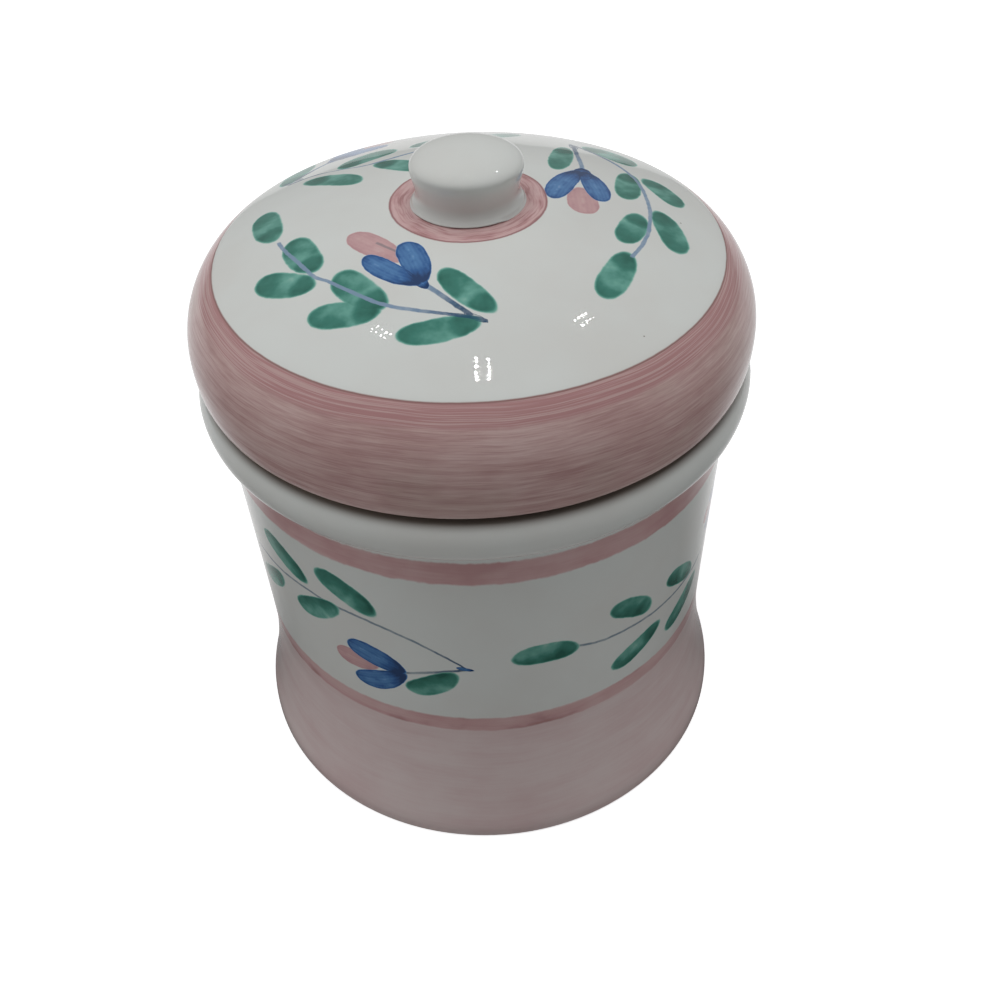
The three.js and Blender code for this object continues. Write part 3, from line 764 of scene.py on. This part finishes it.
colour = mixed(tree, calc(tree, "MULTIPLY", roll["Mask"], on_roll), colour, roll_colour)


def knob_ring(tree, where, colour, inner):
    """The colour with a pink ring brushed round the foot of the knob."""
    out = vector_calc(tree, "MULTIPLY", vector_calc(tree, "SUBTRACT", where["Place"], RING_CENTRE), (1, 1, 0))
    reach = vector_calc(tree, "LENGTH", out)
    bands = []
    for low, high, softness in ((inner, RING_OUTER, 0.2), (inner, inner + 0.6, 0.45),
                                (RING_OUTER - 0.55, RING_OUTER + 0.1, 0.2)):
        bands.append(placed(tree, brushed_band, {
            "Round": where["Round"], "Across": reach, "Low": low, "High": high, "Softness": softness,
            "Wander": 0.8, "Fray": 0.15, "Streak Pitch": 0.45, "Breaks": 2.4}))
    ring, low_line, high_line = bands
    tone = calc(tree, "MULTIPLY_ADD", ring["Broad"], 0.5, calc(tree, "MULTIPLY", ring["Streak"], 0.5))
    pink = mixed(tree, ease(tree, tone, 0.42, 0.58), PINK_PALE, RING_PINK)
    pink = mixed(tree, ease(tree, tone, 0.53, 0.66, 0.0, 0.6), pink, RING_DEEP)
    pink = mixed(tree, calc(tree, "MULTIPLY", low_line["Mask"], 0.2), pink, RING_DEEP)
    pink = mixed(tree, calc(tree, "MULTIPLY", high_line["Mask"], 0.85), pink, RING_DEEP)
    near = calc(tree, "MULTIPLY", calc(tree, "GREATER_THAN", where["Height"], RING_LOW),
                calc(tree, "LESS_THAN", where["Height"], RING_HIGH))
    return mixed(tree, calc(tree, "MULTIPLY", ring["Mask"], near), colour, pink)


colour = knob_ring(tree, where, colour, RING_INNER - 3.0)
tree.links.new(colour, shader.inputs["Base Color"])
brush_rough = calc(tree, "MULTIPLY", calc(tree, "MULTIPLY", roll["Mask"], on_roll),
                   ease(tree, roll["Streak"], 0.35, 0.75, 0.03, 0.14))
rings = calc(tree, "MULTIPLY", calc(tree, "MULTIPLY", deep["Streak"], deep["Mask"]), RING_RELIEF)
glossy(tree, shader, face, calc(tree, "MULTIPLY_ADD", bare_shaded_seat, 0.75, brush_rough), rings)
lid.data.materials.append(lid_glaze)
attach(lid, "lid")


# Knob
# A round button of the same clay, made by itself and stuck to the dome with slip before firing.
# Slip drawn up round its foot hides the joint, and it sits a hair off centre.

KNOB_STEPS = 64
KNOB_UNEVENNESS = 0.0001
KNOB_OFF_CENTRE = (0.0005, 0.0, 0.0)
KNOB_FOOT_SPREAD = 1.046
KNOB_FOOT_DROP = -0.0007
SLIP_TOP = 0.1826
SLIP_NECK = 0.0129
SLIP_FLARE, SLIP_CURVE = 0.0020, 1.3

knob = turned_piece("lid_knob", "knob", KNOB_STEPS, KNOB_UNEVENNESS)
knob_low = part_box("lid_knob")[0].z
shape = bmesh.new()
shape.from_mesh(knob.data)
foot = [v for v in shape.verts if v.co.z < knob_low + 0.0001]
for v in shape.verts:
    reach = math.hypot(v.co.x, v.co.y)
    share = (SLIP_TOP - v.co.z) / (SLIP_TOP - knob_low)
    if share > 0.0 and v not in foot:
        widening = (SLIP_NECK + SLIP_FLARE * share ** SLIP_CURVE) / reach
        bmesh.ops.scale(shape, verts=[v], vec=(widening, widening, 1))
bmesh.ops.translate(shape, verts=foot, vec=(0, 0, KNOB_FOOT_DROP))
bmesh.ops.scale(shape, verts=foot, vec=(KNOB_FOOT_SPREAD, KNOB_FOOT_SPREAD, 1))
bmesh.ops.translate(shape, verts=shape.verts, vec=KNOB_OFF_CENTRE)
shape.to_mesh(knob.data)
shape.free()
knob_glaze, tree, shader, where = new_material("knob glaze")
face = placed(tree, glaze_face, {"Place": where["Place"]})
colour = knob_ring(tree, where, white_ground(tree, face), RING_INNER)
tree.links.new(colour, shader.inputs["Base Color"])
glossy(tree, shader, face)
knob.data.materials.append(knob_glaze)
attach(knob, "lid")


# Floor, light and camera
# A pale tabletop under soft overhead light, with pairs of light strips that show in the glaze.
# The camera stands in front and looks down on the lid, as in the photograph.

FLOOR_RADIUS = 4.0
WHITENING_START, WHITENING_END = 0.5, 2.0
FLOOR_GREY = (0.70, 0.70, 0.70, 1)
FLOOR_SHADED = (0.10, 0.10, 0.10, 1)
FLOOR_WHITENING = 0.76
FLOOR_IN_GLAZE = 0.50
ROOM_LIGHT = 0.09
ROOM_IN_GLAZE = 0.22

shape = bmesh.new()
bmesh.ops.create_circle(shape, cap_ends=True, segments=96, radius=FLOOR_RADIUS)
mesh = bpy.data.meshes.new("floor")
shape.to_mesh(mesh)
shape.free()
floor = bpy.data.objects.new("floor", mesh)
bpy.context.collection.objects.link(floor)
paper = bpy.data.materials.new("white paper")
paper.use_nodes = True
tree = paper.node_tree
shader = tree.nodes["Principled BSDF"]
shader.inputs["Roughness"].default_value = 0.95
shader.inputs["Specular IOR Level"].default_value = 0.0
shader.inputs["Emission Color"].default_value = (1, 1, 1, 1)
path = add(tree, "ShaderNodeLightPath").outputs

# In the glaze, the floor shows dark in front, where the viewer shades it, and pale at the sides and behind.
point = add(tree, "ShaderNodeTexCoord").outputs["Object"]
heading = vector_calc(tree, "NORMALIZE", point)
behind = ease(tree, vector_calc(tree, "DOT_PRODUCT", heading, (0, -1, 0)), -0.60, 0.15, 1.0, 0.0)
in_glaze = calc(tree, "MULTIPLY", path["Is Glossy Ray"], behind)
shaded = calc(tree, "SUBTRACT", path["Is Glossy Ray"], in_glaze)
tree.links.new(mixed(tree, shaded, FLOOR_GREY, FLOOR_SHADED), shader.inputs["Base Color"])
seen = calc(tree, "MAXIMUM", path["Is Camera Ray"], path["Is Transmission Ray"])
seen = calc(tree, "MULTIPLY_ADD", in_glaze, FLOOR_IN_GLAZE, seen)
away = vector_calc(tree, "LENGTH", point)
whitening = ease(tree, away, WHITENING_START, WHITENING_END, FLOOR_WHITENING, 1.0)
tree.links.new(calc(tree, "MULTIPLY", seen, whitening), shader.inputs["Emission Strength"])
floor.data.materials.append(paper)

world = bpy.data.worlds.new("pale room")
bpy.context.scene.world = world
world.use_nodes = True
tree = world.node_tree
background = tree.nodes["Background"]
background.inputs["Color"].default_value = (1, 1, 1, 1)
path = add(tree, "ShaderNodeLightPath").outputs
seen = calc(tree, "MAXIMUM", path["Is Camera Ray"], path["Is Transmission Ray"])
seen = calc(tree, "MULTIPLY_ADD", path["Is Glossy Ray"], ROOM_IN_GLAZE, seen)
tree.links.new(calc(tree, "MULTIPLY_ADD", seen, 1.0 - ROOM_LIGHT, ROOM_LIGHT), background.inputs["Strength"])


def lamp(name, place, size, power, glint):
    """A lamp facing the canister: a glint lamp only shows in the glaze, any other only lights it."""
    light = bpy.data.lights.new(name, "AREA")
    light.shape = "RECTANGLE"
    light.size, light.size_y = size
    light.energy = power
    made = bpy.data.objects.new(name, light)
    made.location = place
    made.rotation_euler = (Vector((0, 0, 0.12)) - Vector(place)).to_track_quat("-Z", "Y").to_euler()
    made.visible_glossy = glint
    made.visible_diffuse = not glint
    bpy.context.collection.objects.link(made)


# The strips hang in pairs, each a row of short bars: a middle place, the run of the row, the way to its twin.
STRIP_HEIGHT = 1.37
STRIP_BAR = (0.011, 0.004)
STRIP_BAR_POWER = 0.028
STRIPS = [
    ("left strip", (-0.40, 0.50), (-0.089, 0.106), (0.015, 0.006), 4),
    ("middle strip", (0.02, 0.214), (0.0, 0.098), (0.0225, 0.0), 6),
    ("right strip", (0.475, 0.57), (0.082, 0.098), (0.018, -0.007), 4),
]
lamp("ceiling", (0.0, 0.1, 1.9), (1.8, 1.8), 22.5, False)
lamp("front fill", (-0.6, -1.1, 1.6), (0.8, 0.8), 1.0, False)
lamp("left fill", (-1.5, 0.0, 0.7), (0.8, 0.8), 3.6, False)
lamp("right fill", (1.5, 0.0, 0.7), (0.8, 0.8), 2.0, False)
for name, middle, run, aside, count in STRIPS:
    for side in (-1, 1):
        for bar in range(count):
            share = (bar + 0.5) / count - 0.5
            spot = (middle[0] + side * aside[0] + share * run[0],
                    middle[1] + side * aside[1] + share * run[1], STRIP_HEIGHT)
            lamp(name, spot, STRIP_BAR, STRIP_BAR_POWER, True)

CAMERA_PLACE = (0.00573, -0.26692, 0.32252)
CAMERA_PITCH = 43.06
CAMERA_ROLL = -2.21
SENSOR_WIDTH, FOCAL_LENGTH = 36.0, 40.81
lens = bpy.data.cameras.new("camera")
lens.sensor_width = SENSOR_WIDTH
lens.lens = FOCAL_LENGTH
lens.clip_start = 0.01
camera = bpy.data.objects.new("camera", lens)
tilt = Matrix.Rotation(math.radians(90 - CAMERA_PITCH), 4, "X")
twist = Matrix.Rotation(math.radians(CAMERA_ROLL), 4, "Z")
camera.matrix_world = Matrix.Translation(CAMERA_PLACE) @ tilt @ twist
bpy.context.collection.objects.link(camera)
bpy.context.scene.camera = camera
bpy.context.scene.view_settings.view_transform = "Standard"
